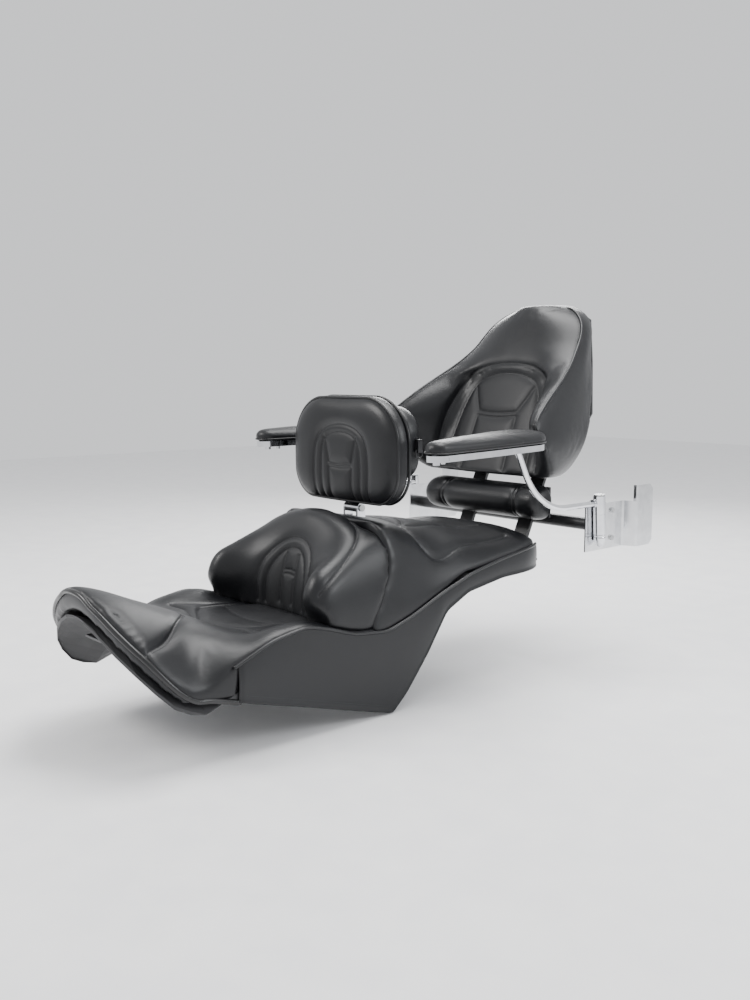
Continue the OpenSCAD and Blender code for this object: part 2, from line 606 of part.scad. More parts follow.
module pivot_pin() {
  color("#9a9ca0") leaned() {
    translate([0, 0, pin_z]) cylinder(d = pivot_pin_d, h = collar_z + collar_h - pin_z + 0.3);
    translate([0, 0, collar_z + collar_h + 0.3]) cylinder(d = barrel_d - 3, h = 3);
  }
}
module arm_collar() {
  color("#c8cacd") difference() {
    union() {
      leaned() translate([0, 0, collar_z]) cylinder(d = barrel_d, h = collar_h);
      translate([tube_x, pivot_y - 26, tube_z1]) rotate([-90, 0, 0]) cylinder(d = arm_tube_d + 5, h = 22);
    }
    leaned() cylinder(r = pivot_pin_d / 2 + 0.05, h = 300);
    translate([tube_x, pivot_y - 60, tube_z1]) rotate([-90, 0, 0]) cylinder(d = arm_tube_d, h = 48);
  }
}
tube_z1 = 290;
tube_bend_r = 150;
tube_turn = 62;
tube_straight = 102;
// The arm tube: a level run, one bend upwards and a short straight that ends under the rail
tube_end_z = rail_z0 - 0.1;
function tube_ring(y, z, turn) = [for (t = [0 : 15 : 345]) let (r = arm_tube_d / 2)
  [tube_x + r * cos(t), y + r * sin(t) * sin(turn), z + r * sin(t) * cos(turn)]];
module arm_tube() {
  start_y = pivot_y - 17;
  bend_y = start_y - tube_straight;
  bend = [for (a = [0 : 4 : tube_turn - 1])
    tube_ring(bend_y - tube_bend_r * sin(a), tube_z1 + tube_bend_r * (1 - cos(a)), a)];
  last = tube_ring(bend_y - tube_bend_r * sin(tube_turn), tube_z1 + tube_bend_r * (1 - cos(tube_turn)),
    tube_turn);
  cut = [for (q = last) let (fall = tan(rail_slope), run = (tube_end_z + (q[1] - 850) * fall - q[2])
    / (sin(tube_turn) + fall * cos(tube_turn)))
    [q[0], q[1] - run * cos(tube_turn), q[2] + run * sin(tube_turn)]];
  color("#c8cacd") skin(concat([tube_ring(start_y, tube_z1, 0)], bend, [last, cut]));
}
module rail_plan(grow) {
  hull() {
    translate([274, 606]) circle(r = 25 + grow);
    translate([262, 740]) circle(r = 38 + grow);
    translate([240, 872]) circle(r = 55 + grow);
  }
}
module sloped() { translate([0, 850, rail_z0]) rotate([rail_slope, 0, 0]) translate([0, -850, -rail_z0]) children(); }
module arm_rail() {
  color("#c8cacd") sloped() difference() {
    translate([0, 0, rail_z0]) linear_extrude(rail_t) rail_plan(-1);
    translate([0, 0, rail_z0 + 3]) linear_extrude(rail_t) rail_plan(-5);
    block([296, 570, rail_z0 + 3], [310, 612, rail_z0 + 9]);
  }
}
module arm_pad() {
  color("#1b1c1f") sloped() hull() {
    translate([0, 0, rail_z0 + rail_t + 0.3]) linear_extrude(0.1) rail_plan(-1.5);
    translate([0, 0, rail_z0 + rail_t + 6]) linear_extrude(arm_pad_t - 14) rail_plan(1.5);
    translate([0, 0, rail_z0 + rail_t + arm_pad_t - 2]) linear_extrude(1.7) rail_plan(-7);
  }
}
module tip_cap() {
  color("#c8cacd") sloped() translate([270, 604, rail_z0 - 7]) {
    cylinder(d = 14, h = 6.8);
    translate([-6, 24, 0]) cylinder(d = 9, h = 6.8);
  }
}
module arm_screws() {
  color("#9a9ca0") {
    for (z = [206, 268]) translate([plate_x + plate_t, 1150, z]) rotate([0, 90, 0]) cylinder(d = 12, h = 4);
    leaned() translate([0, barrel_d / 2, 54]) rotate([-90, 0, 0]) cylinder(d = 5, h = 5);
  }
}
module left_arm_plate() { placed() arm_plate(); }
module left_pivot_barrel() { placed() pivot_barrel(); }
module left_bullet_cap() { placed() bullet_cap(); }
module left_pivot_pin() { placed() pivot_pin(); }
module left_arm_collar() { placed() arm_collar(); }
module left_arm_tube() { placed() arm_tube(); }
module left_arm_rail() { placed() arm_rail(); }
module left_arm_pad() { placed() arm_pad(); }
module left_tip_cap() { placed() tip_cap(); }
module left_arm_screws() { placed() arm_screws(); }
module right_arm_plate() { placed() mirror([1, 0, 0]) arm_plate(); }
module right_pivot_barrel() { placed() mirror([1, 0, 0]) pivot_barrel(); }
module right_bullet_cap() { placed() mirror([1, 0, 0]) bullet_cap(); }
module right_pivot_pin() { placed() mirror([1, 0, 0]) pivot_pin(); }
module right_arm_collar() { placed() mirror([1, 0, 0]) arm_collar(); }
module right_arm_tube() { placed() mirror([1, 0, 0]) arm_tube(); }
module right_arm_rail() { placed() mirror([1, 0, 0]) arm_rail(); }
module right_arm_pad() { placed() mirror([1, 0, 0]) arm_pad(); }
module right_tip_cap() { placed() mirror([1, 0, 0]) tip_cap(); }
module right_arm_screws() { placed() mirror([1, 0, 0]) arm_screws(); }

seat_pan();
rider_foam();
rider_cover();
nose_trim();
bolster_foam();
bolster_cover();
passenger_foam();
passenger_cover();
left_skirt();
right_skirt();
welt_piping();
pan_bumpers();
front_tongue();
carrier_base();
carrier_studs();
carrier_uprights();
carrier_crossbar();
carrier_bolts();
roll_board();
roll_foam();
roll_cover();
back_shell();
back_foam();
back_cover();
back_piping();
post_socket();
fold_pin();
rest_post();
post_sleeve();
height_knob();
rest_board();
rest_foam();
rest_cover();
rest_piping();
rest_pouch();
pouch_zip();
zip_slider();
ring_tabs();
left_ring();
right_ring();
left_arm_plate();
left_pivot_barrel();
left_bullet_cap();
left_pivot_pin();
left_arm_collar();
left_arm_tube();
left_arm_rail();
left_arm_pad();
left_tip_cap();
left_arm_screws();
right_arm_plate();
right_pivot_barrel();
right_bullet_cap();
right_pivot_pin();
right_arm_collar();
right_arm_tube();
right_arm_rail();
right_arm_pad();
right_tip_cap();
right_arm_screws();
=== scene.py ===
"""Looks of a two-up touring motorcycle seat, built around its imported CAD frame.

Shapes are worked out in seat millimetres: x to the rider's left, y backwards from the nose tip
and z over the side panels' middle. row() turns them into the frame's metres.
"""
import json
import math

import bpy
import numpy as np
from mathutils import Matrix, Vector
from mathutils.bvhtree import BVHTree


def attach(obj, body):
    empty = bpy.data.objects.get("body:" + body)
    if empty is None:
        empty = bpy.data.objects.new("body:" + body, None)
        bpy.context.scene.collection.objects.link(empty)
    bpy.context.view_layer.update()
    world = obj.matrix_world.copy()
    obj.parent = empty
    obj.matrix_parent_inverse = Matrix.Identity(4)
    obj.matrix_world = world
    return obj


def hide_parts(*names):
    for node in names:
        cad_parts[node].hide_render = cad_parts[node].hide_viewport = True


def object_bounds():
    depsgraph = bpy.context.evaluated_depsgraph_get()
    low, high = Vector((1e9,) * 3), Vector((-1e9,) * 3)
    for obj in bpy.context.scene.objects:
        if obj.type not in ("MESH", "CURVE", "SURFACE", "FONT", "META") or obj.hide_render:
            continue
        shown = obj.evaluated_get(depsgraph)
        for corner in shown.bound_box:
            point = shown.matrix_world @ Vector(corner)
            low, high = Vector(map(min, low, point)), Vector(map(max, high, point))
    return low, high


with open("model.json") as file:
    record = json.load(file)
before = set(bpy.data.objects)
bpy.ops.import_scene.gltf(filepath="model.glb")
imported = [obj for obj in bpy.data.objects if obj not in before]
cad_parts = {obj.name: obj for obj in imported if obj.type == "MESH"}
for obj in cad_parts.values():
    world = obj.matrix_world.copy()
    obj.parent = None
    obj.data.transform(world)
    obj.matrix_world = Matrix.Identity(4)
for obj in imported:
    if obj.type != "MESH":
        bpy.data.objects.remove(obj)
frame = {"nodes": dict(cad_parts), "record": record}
CAD_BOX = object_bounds()
ORIGIN = np.array([0.0, 900.0, 148.0])  # the stud pattern's centre, in seat millimetres
SCENE = bpy.context.scene


def row(points):
    """Seat millimetres to the frame's metres."""
    return (np.asarray(points, float) - ORIGIN) / 1000


def seat(points):
    """The frame's metres to seat millimetres."""
    return np.asarray(points, float) * 1000 + ORIGIN


# ---- Numbers ------------------------------------------------------------------------------
def clamp01(t):
    return np.clip(t, 0, 1)


def ease(t):
    c = clamp01(t)
    return c * c * (3 - 2 * c)


def mix(a, b, t):
    return a + (b - a) * t


def fair(pairs, reach=26):
    """A smooth function through a list of (place, value), its corners rounded over reach."""
    xs, vs = np.array(pairs, float).T
    grid = np.arange(xs[0] - 2 * reach, xs[-1] + 2 * reach, 2.0)
    slope0, slope1 = (vs[1] - vs[0]) / (xs[1] - xs[0]), (vs[-1] - vs[-2]) / (xs[-1] - xs[-2])
    raw = np.interp(grid, xs, vs)
    raw = np.where(grid < xs[0], vs[0] + slope0 * (grid - xs[0]), raw)
    raw = np.where(grid > xs[-1], vs[-1] + slope1 * (grid - xs[-1]), raw)
    window = np.hanning(reach + 1)
    soft = np.convolve(raw, window / window.sum(), mode="same")
    return lambda y: np.interp(y, grid[reach:-reach], soft[reach:-reach])


def along(points, step=1.0):
    """Points step apart on a smooth curve through a few chosen ones."""
    p = np.asarray(points, float)
    ends = np.vstack([2 * p[0] - p[1], p, 2 * p[-1] - p[-2]])
    out = []
    for a, b, c, d in zip(ends[:-3], ends[1:-2], ends[2:-1], ends[3:]):
        t = np.linspace(0, 1, 24, endpoint=False)[:, None]
        out.append(0.5 * (2 * b + (c - a) * t + (2 * a - 5 * b + 4 * c - d) * t**2
                          + (3 * b - a - 3 * c + d) * t**3))
    fine = np.vstack(out + [p[-1:]])
    run = np.concatenate([[0], np.cumsum(np.linalg.norm(np.diff(fine, axis=0), axis=1))])
    places = np.arange(0, run[-1] + step / 2, step)
    return np.stack([np.interp(places, run, fine[:, k]) for k in range(fine.shape[1])], axis=1)


def mirrored(points):
    return [(-p[0], *p[1:]) for p in points]


# ---- Meshes -------------------------------------------------------------------------------
def new_object(name, points_mm, faces, material, smooth=True):
    mesh = bpy.data.meshes.new(name)
    mesh.from_pydata(row(points_mm).tolist(), [], [list(map(int, f)) for f in faces])
    mesh.validate()
    obj = bpy.data.objects.new(name, mesh)
    SCENE.collection.objects.link(obj)
    mesh.materials.append(material)
    if smooth:
        mesh.polygons.foreach_set("use_smooth", [True] * len(mesh.polygons))
    return obj


def ring_faces(m, n, closed=False):
    """Quads between m rings of n points, and flat ladders over both ends unless closed."""
    faces = []
    for j in range(m if closed else m - 1):
        a, b = j * n, (j + 1) % m * n
        faces += [[a + i, a + (i + 1) % n, b + (i + 1) % n, b + i] for i in range(n)]
    if not closed:
        last = (m - 1) * n
        for i in range((n + 1) // 2 - 1):
            c, d = n - 2 - i, n - 1 - i
            faces.append([d, c, i + 1, i] if i + 1 < c else [d, c, i])
            end = [last + i, last + i + 1, last + c, last + d]
            faces.append(end if i + 1 < c else [last + i, last + c, last + d])
    return faces


def lofted(name, rings, material, closed=False):
    """A closed body through rings, an array of m rings of n points."""
    rings = np.asarray(rings, float)
    m, n = rings.shape[:2]
    obj = new_object(name, rings.reshape(-1, 3), ring_faces(m, n, closed), material)
    outward(obj)
    return obj


def outward(obj):
    """Turns all faces outwards."""
    import bmesh
    b = bmesh.new()
    b.from_mesh(obj.data)
    bmesh.ops.recalc_face_normals(b, faces=b.faces)
    b.to_mesh(obj.data)
    b.free()


def points_of(obj):
    co = np.zeros(len(obj.data.vertices) * 3, np.float32)
    obj.data.vertices.foreach_get("co", co)
    return seat(co.reshape(-1, 3))


def set_points(obj, points_mm):
    obj.data.vertices.foreach_set("co", row(points_mm).astype(np.float32).ravel())
    obj.data.update()


def normals_of(obj):
    n = np.zeros(len(obj.data.vertices) * 3, np.float32)
    obj.data.vertex_normals.foreach_get("vector", n)
    return n.reshape(-1, 3).astype(float)


def applied(obj):
    """Applies every modifier of an object."""
    bpy.context.view_layer.update()
    made = bpy.data.meshes.new_from_object(obj.evaluated_get(bpy.context.evaluated_depsgraph_get()))
    obj.modifiers.clear()
    old, obj.data = obj.data, made
    bpy.data.meshes.remove(old)
    made.polygons.foreach_set("use_smooth", [True] * len(made.polygons))
    return obj


def remeshed(obj, voxel_mm):
    m = obj.modifiers.new("voxels", "REMESH")
    m.mode = "VOXEL"
    m.voxel_size = voxel_mm / 1000
    return applied(obj)


def relaxed(obj, rounds, amount=0.5):
    m = obj.modifiers.new("relax", "CORRECTIVE_SMOOTH")
    m.rest_source = "ORCO"
    m.iterations = rounds
    m.factor = amount
    m.use_only_smooth = True
    return applied(obj)


def subdivided(obj):
    m = obj.modifiers.new("finer", "SUBSURF")
    m.levels = m.render_levels = 1
    return applied(obj)


def near(points, seams, reach=20.0):
    """Distance of each point to the nearest seam, up to reach."""
    best = np.full(len(points), reach)
    for line in seams:
        lo, hi = line.min(0) - reach, line.max(0) + reach
        inside = np.where(np.all((points > lo) & (points < hi), axis=1))[0]
        sparse = line[:: max(1, len(line) // 400)]
        for k in range(0, len(inside), 4000):
            part = inside[k:k + 4000]
            d = np.linalg.norm(points[part][:, None] - sparse[None], axis=2).min(1)
            best[part] = np.minimum(best[part], d)
    return best


def puffed(obj, pinned, pressure, cap_mm, stiffness=18.0):
    """Swells a closed mesh like stuffed cloth, except where it is pinned."""
    rest = points_of(obj)
    group = obj.vertex_groups.new(name="pins")
    group.add([int(i) for i in np.where(pinned)[0]], 1.0, "REPLACE")
    cloth = obj.modifiers.new("cloth", "CLOTH")
    s = cloth.settings
    s.use_pressure, s.uniform_pressure_force = True, pressure
    s.tension_stiffness = s.compression_stiffness = s.shear_stiffness = stiffness
    s.bending_stiffness = 1.5
    s.effector_weights.gravity = 0
    s.vertex_group_mass = "pins"
    s.quality = 5
    cloth.point_cache.frame_start, cloth.point_cache.frame_end = 1, 20
    for f in range(1, 21):
        SCENE.frame_set(f)
    bpy.context.view_layer.update()
    shown = obj.evaluated_get(bpy.context.evaluated_depsgraph_get())
    co = np.zeros(len(shown.data.vertices) * 3, np.float32)
    shown.data.vertices.foreach_get("co", co)
    move = seat(co.reshape(-1, 3)) - rest
    size = np.linalg.norm(move, axis=1, keepdims=True)
    move *= np.minimum(1, cap_mm / np.maximum(size, 1e-6))
    obj.modifiers.remove(cloth)
    SCENE.frame_set(1)
    obj.vertex_groups.clear()
    set_points(obj, rest + move)
    return obj


def tree_of(obj):
    mesh = obj.data
    mesh.calc_loop_triangles()
    tris = [tuple(t.vertices) for t in mesh.loop_triangles]
    return BVHTree.FromPolygons([v.co for v in mesh.vertices], tris)


def snapped(obj, lines, direction=None, tree=None):
    """Each line laid onto a mesh: along a direction if one is given, else at the nearest point.
    Gives for each line its points and the surface's normals there."""
    tree = tree or tree_of(obj)
    out = []
    for line in lines:
        pts, nrm = [], []
        for p in row(line):
            if direction is None:
                hit = tree.find_nearest(Vector(p))
            else:
                d = Vector(direction).normalized()
                hit = tree.ray_cast(Vector(p) - d * 0.25, d)
                if hit[0] is None:
                    hit = tree.find_nearest(Vector(p))
            pts.append(hit[0])
            nrm.append(hit[1])
        pts, nrm = seat(np.array(pts)), np.array(nrm, float)
        for k in range(3):
            pts[:, k] = softened(pts[:, k], 5)
            nrm[:, k] = softened(nrm[:, k], 9)
        nrm /= np.linalg.norm(nrm, axis=1, keepdims=True)
        out.append((pts, nrm))
    return out


def softened(values, width):
    if len(values) <= 2 * width:
        return values
    padded = np.concatenate([np.full(width, values[0]), values, np.full(width, values[-1])])
    window = np.hanning(2 * width + 3)[1:-1]
    return np.convolve(padded, window / window.sum(), mode="valid")


def carved(obj, seams, depth=2.4, width=2.6, dip=2.2, dip_width=11.0):
    """Presses seams into a mesh: a sharp groove in a shallow wide dip."""
    pts, nrm = points_of(obj), normals_of(obj)
    d = near(pts, [s[0] for s in seams], 40.0)
    push = depth * np.exp(-((d / width) ** 2)) + dip * np.exp(-((d / dip_width) ** 2))
    set_points(obj, pts - nrm * push[:, None])
    return obj


def frames_along(pts, nrm):
    """Unit vectors along a line, across it on the surface, and off the surface."""
    t = np.gradient(pts, axis=0)
    t /= np.linalg.norm(t, axis=1, keepdims=True)
    side = np.cross(nrm, t)
    side /= np.linalg.norm(side, axis=1, keepdims=True)
    return t, side, np.cross(t, side)


def stitches(name, seams, material, offsets=(2.6,), pitch=4.6, length=3.4, radius=0.42, lift=0.1):
    """Short threads beside seams, as one mesh. Each is a capsule bedded in the surface."""
    sides, stations = 6, np.array([-0.5, -0.36, 0.0, 0.36, 0.5])
    swell = np.array([0.25, 0.9, 1.0, 0.9, 0.25])
    bow = np.array([-0.9, -0.2, 0.35, -0.2, -0.9])
    angles = np.arange(sides) * 2 * math.pi / sides
    points, faces = [], []
    for pts, nrm in seams:
        if len(pts) < 8:
            continue
        t, side, up = frames_along(pts, nrm)
        for offset in offsets:
            for i in range(3, len(pts) - 3, max(1, round(pitch))):
                mid = pts[i] + side[i] * offset + up[i] * lift
                base = len(points)
                for s, k, w in zip(stations, swell, bow):
                    c = mid + t[i] * s * length + up[i] * w * radius
                    points += [c + radius * k * (math.cos(a) * side[i] + math.sin(a) * up[i])
                               for a in angles]
                m = len(stations)
                faces += [[base + v for v in f] for f in ring_faces(m, sides)]
    return new_object(name, np.array(points), faces, material)


def tube(name, pts, radius, material, sides=12, closed=False, nrm=None, squeeze=1.0):
    """A round cord swept along dense points."""
    pts = np.asarray(pts, float)
    t = np.gradient(pts, axis=0)
    if closed:
        t = np.roll(pts, -1, 0) - np.roll(pts, 1, 0)
    t /= np.linalg.norm(t, axis=1, keepdims=True)
    if nrm is None:
        up = np.tile([0.0, 0.0, 1.0], (len(pts), 1))
        up[np.abs(t[:, 2]) > 0.95] = [0, 1, 0]
        for i in range(1, len(pts)):
            v = up[i - 1] - t[i] * (up[i - 1] @ t[i])
            up[i] = v / np.linalg.norm(v)
        v = up[0] - t[0] * (up[0] @ t[0])
        up[0] = v / np.linalg.norm(v)
    else:
        up = nrm - t * np.sum(nrm * t, axis=1, keepdims=True)
        up /= np.linalg.norm(up, axis=1, keepdims=True)
    side = np.cross(t, up)
    angles = np.arange(sides) * 2 * math.pi / sides
    rings = (pts[:, None] + radius * (np.cos(angles)[None, :, None] * side[:, None]
                                      + squeeze * np.sin(angles)[None, :, None] * up[:, None]))
    return lofted(name, rings, material, closed)


def lathe(name, profile, base, axis, material, turns=48):
    """A turned piece: (height, radius) pairs along an axis from a base point."""
    axis = np.array(axis, float) / np.linalg.norm(axis)
    u = np.cross(axis, [1.0, 0, 0])
    u /= np.linalg.norm(u)
    v = np.cross(axis, u)
    a = np.arange(turns) * 2 * math.pi / turns
    circle = np.cos(a)[:, None] * u + np.sin(a)[:, None] * v
    rings = [np.array(base) + axis * h + circle * max(r, 0.02) for h, r in profile]
    return lofted(name, rings, material)


def sheet_panel(name, grid, thickness, material):
    """A closed panel: a grid of points, thickened against its normals."""
    m, n = grid.shape[:2]
    du, dv = np.gradient(grid, axis=0), np.gradient(grid, axis=1)
    nrm = np.cross(du, dv)
    nrm /= np.maximum(np.linalg.norm(nrm, axis=2, keepdims=True), 1e-9)
    back = grid - nrm * thickness
    rings = np.concatenate([grid, back[:, ::-1]], axis=1)
    return lofted(name, rings, material)


# ---- Materials ----------------------------------------------------------------------------
def shader(name, colour, roughness, metallic=0.0, **fixed):
    m = bpy.data.materials.new(name)
    m.use_nodes = True
    b = m.node_tree.nodes["Principled BSDF"]
    b.inputs["Base Color"].default_value = (*colour, 1)
    b.inputs["Roughness"].default_value = roughness
    b.inputs["Metallic"].default_value = metallic
    for key, value in fixed.items():
        b.inputs[key.replace("_", " ")].default_value = value
    return m


def node(m, kind, **values):
    n = m.node_tree.nodes.new(kind)
    for key, value in values.items():
        if key in n.inputs:
            n.inputs[key].default_value = value
        else:
            setattr(n, key, value)
    return n


def link(m, a, out, b, inp):
    m.node_tree.links.new(a.outputs[out], b.inputs[inp])


def varied(m, colours, roughs, scale, detail=4.0, where="Object"):
    """Colour and roughness that drift between two values over a noise."""
    bsdf = m.node_tree.nodes["Principled BSDF"]
    place = node(m, "ShaderNodeTexCoord")
    noise = node(m, "ShaderNodeTexNoise", Scale=scale, Detail=detail)
    link(m, place, where, noise, "Vector")
    ramp = node(m, "ShaderNodeValToRGB")
    ramp.color_ramp.elements[0].position, ramp.color_ramp.elements[1].position = 0.35, 0.68
    ramp.color_ramp.elements[0].color = (*colours[0], 1)
    ramp.color_ramp.elements[1].color = (*colours[1], 1)
    link(m, noise, "Fac", ramp, "Fac")
    link(m, ramp, "Color", bsdf, "Base Color")
    span = node(m, "ShaderNodeMapRange")
    span.inputs["From Min"].default_value, span.inputs["From Max"].default_value = 0.3, 0.7
    span.inputs["To Min"].default_value, span.inputs["To Max"].default_value = roughs
    link(m, noise, "Fac", span, "Value")
    link(m, span, "Result", bsdf, "Roughness")
    return place


def bumped(m, place, layers):
    """Bump from layers of (node kind, output, scale, strength, distance in metres)."""
    bsdf = m.node_tree.nodes["Principled BSDF"]
    last = None
    for kind, out, scale, strength, distance in layers:
        tex = node(m, kind, Scale=scale)
        link(m, place, "Object", tex, "Vector")
        bump = node(m, "ShaderNodeBump", Strength=strength, Distance=distance)
        link(m, tex, out, bump, "Height")
        if last is not None:
            link(m, last, "Normal", bump, "Normal")
        last = bump
    link(m, last, "Normal", bsdf, "Normal")


def vinyl(name, dark, light, roughs, grain):
    m = shader(name, dark, roughs[0], Specular_IOR_Level=0.4)
    place = varied(m, (dark, light), roughs, 9.0)
    bumped(m, place, [("ShaderNodeTexVoronoi", "Distance", grain, 0.32, 0.00035),
                      ("ShaderNodeTexNoise", "Fac", grain * 2.3, 0.22, 0.0002),
                      ("ShaderNodeTexNoise", "Fac", 26.0, 0.25, 0.0012)])
    return m


def metal(name, dark, light, roughs, scale, brushed=0.0):
    m = shader(name, light, roughs[0], 1.0)
    place = varied(m, (dark, light), roughs, scale)
    if brushed:
        bumped(m, place, [("ShaderNodeTexNoise", "Fac", 420.0, brushed, 0.0001)])
    return m


def plastic(name, dark, light, roughs, grain, strength=0.3):
    m = shader(name, dark, roughs[0])
    place = varied(m, (dark, light), roughs, 14.0)
    bumped(m, place, [("ShaderNodeTexNoise", "Fac", grain, strength, 0.0003)])
    return m


VINYL = vinyl("vinyl", (0.0032, 0.0035, 0.0046), (0.0058, 0.0063, 0.0078), (0.33, 0.44), 720.0)
INSERT = vinyl("insert_vinyl", (0.0036, 0.0039, 0.005), (0.0066, 0.0071, 0.0085), (0.42, 0.53), 560.0)
THREAD = plastic("thread", (0.016, 0.0165, 0.019), (0.028, 0.029, 0.033), (0.5, 0.65), 2600.0)
PIPING = plastic("piping", (0.004, 0.0043, 0.005), (0.007, 0.0075, 0.009), (0.28, 0.38), 900.0, 0.15)
RIM = plastic("rim_rubber", (0.006, 0.006, 0.0065), (0.011, 0.011, 0.012), (0.22, 0.34), 500.0, 0.12)
CHROME = metal("chrome", (0.74, 0.75, 0.78), (0.88, 0.885, 0.9), (0.035, 0.075), 30.0)
STEEL = metal("polished_steel", (0.7, 0.705, 0.72), (0.82, 0.825, 0.835), (0.1, 0.2), 45.0, 0.12)
ZINC = metal("zinc", (0.4, 0.41, 0.43), (0.6, 0.6, 0.58), (0.25, 0.42), 60.0, 0.2)
BLACK_STEEL = plastic("powder_coat", (0.012, 0.012, 0.013), (0.02, 0.02, 0.022), (0.32, 0.45), 1500.0)
PAN = plastic("pan_plastic", (0.02, 0.02, 0.022), (0.032, 0.032, 0.034), (0.5, 0.66), 700.0, 0.5)
RUBBER = plastic("bumper_rubber", (0.009, 0.009, 0.009), (0.016, 0.016, 0.016), (0.6, 0.8), 900.0)
TRIM = plastic("black_trim", (0.01, 0.01, 0.011), (0.018, 0.018, 0.02), (0.28, 0.4), 1100.0)

CAD_LOOKS = {
    "pan_plastic": PAN, "bumper_rubber": RUBBER, "black_steel": BLACK_STEEL, "zinc_steel": ZINC,
    "chrome": CHROME, "polished_steel": STEEL, "black_trim": TRIM, "piping": PIPING,
    "cover_vinyl": VINYL, "foam": INSERT,
}
for part in frame["record"]["subparts"]:
    obj = frame["nodes"][part["node"]]
    obj.data.materials.clear()
    obj.data.materials.append(CAD_LOOKS[part["material_slot"]])

# ---- Saddle lines -------------------------------------------------------------------------
HALF_W, SPLIT_Y = 205.0, 552.0
NOSE_END = 138  # where the rim leaves the nose and follows the side
PANEL_START = 201  # front edge of the side panels
QUARTER_SEAM = 207  # the upright stitched seam behind the front quarter
mid_line = fair([(0, 212), (30, 208), (65, 196), (121, 171), (170, 151), (225, 127), (255, 110),
                 (342, 102), (437, 98), (520, 92), (560, 92)])
welt_line = fair([(138, 60), (202, 88), (271, 116), (347, 129), (404, 114), (459, 95), (542, 87),
                  (605, 106), (688, 140), (775, 169), (867, 187), (948, 199), (1040, 205)], 34)
arch_line = fair([(0, 0.0037), (18, 0.0035), (28, 0.003), (50, 0.0027), (90, 0.00277), (138, 0.0026),
                  (200, 0.0011), (260, 0), (600, 0)])
seat_line = fair([(540, 291), (593, 281), (648, 268), (763, 258), (856, 238), (953, 236),
                  (1022, 226)], 40)
skirt_line = fair([(120, 42), (138, 34), (207, 15), (334, -21), (451, -55), (552, -83), (592, -47),
                   (647, 19), (700, 96), (763, 126), (867, 142), (1040, 147)], 14)
rider_floor = fair([(0, 172), (121, 132), (200, 82), (260, 52), (437, 44), (560, 42)])
passenger_floor = fair([(540, 46), (552, 48), (590, 72), (700, 132), (760, 164), (1040, 164)])


def plan_w(y):
    front = HALF_W * (1 - (1 - clamp01((y - 5) / 133)) ** 3) ** 0.55
    back = HALF_W - 40 * clamp01((y - 900) / 125) ** 3
    return np.where(y < 138, front, np.where(y > 900, back, HALF_W))


def rider_top(x, y):
    t = clamp01(np.abs(x) / HALF_W)
    w = np.maximum(plan_w(y), 20)
    arch = mid_line(y) - arch_line(y) * x * x - 7 * clamp01(np.abs(x) / w) ** 14
    ridge = 5 * np.exp(-((t - 0.86) / 0.1) ** 2) * ease((y - 230) / 60) * ease((420 - y) / 60)
    dish = mix(mid_line(y), welt_line(y) + 9 - 12 * t**10, t**2.2) + ridge
    return mix(arch, dish, ease((y - 150) / 110))


def flank_shift(x, y, z):
    """How far back the joint of bolster and passenger cushion runs on the shoulders, and how
    far forward low on the flanks."""
    low = clamp01((190 - z) / 84) ** 1.6
    shoulder = ease((np.abs(x) - 100) / 60) * ease((z - 150) / 60)
    return (16 * shoulder - 42 * low) * np.exp(-((y - SPLIT_Y) / 60) ** 2)


def passenger_top(x, y):
    t = clamp01(np.abs(x) / np.maximum(plan_w(y), 1))
    power = mix(9.0, 3.6, ease((y - SPLIT_Y) / 190))
    end = 30 * clamp01((y - 978) / 44) ** 2.4
    return mix(seat_line(y) - end, welt_line(y) + 2, t**power)


def section(x_half, top, low, under, y, n_top=72, n_under=20):
    """One closed ring of a saddle body: up a flank, over the top, down, and back underneath."""
    k = np.sin(np.linspace(-1, 1, n_top) * math.pi / 2)
    x = k * x_half
    z = top(x, np.full_like(x, y))
    xu = np.linspace(x_half - 3, 3 - x_half, n_under)
    edge = float(top(np.array([x_half]), np.array([y]))[0])
    down = np.linspace(0.25, 1, 4)[:, None]
    right = np.hstack([np.full((4, 1), x_half), np.full((4, 1), y), edge + (low - edge) * down])
    left = right[::-1] * [-1, 1, 1]
    bottom = np.stack([xu, np.full_like(xu, y), under(xu, y)], axis=1)
    return np.vstack([left, np.stack([x, np.full_like(x, y), z], axis=1), right, bottom])


# ---- Soft pieces --------------------------------------------------------------------------
def inside(points, loop):
    """Which points lie in a closed plan outline."""
    x, y = points[:, 0], points[:, 1]
    hit = np.zeros(len(points), bool)
    loop = np.asarray(loop, float)
    for (x0, y0), (x1, y1) in zip(loop, np.roll(loop, -1, 0)):
        crosses = (y0 > y) != (y1 > y)
        hit ^= crosses & (x < (x1 - x0) * (y - y0) / (y1 - y0 + 1e-12) + x0)
    return hit


def inlaid(obj, loop, axes=(0, 1), keep=None):
    """Gives the faces whose centres lie in an outline the insert vinyl."""
    mesh = obj.data
    centres = np.zeros(len(mesh.polygons) * 3, np.float32)
    mesh.polygons.foreach_get("center", centres)
    centres = seat(centres.reshape(-1, 3))
    mask = inside(centres[:, axes], loop)
    if keep is not None:
        mask &= keep(centres)
    mesh.materials.append(INSERT)
    mesh.polygons.foreach_set("material_index", mask.astype(int))


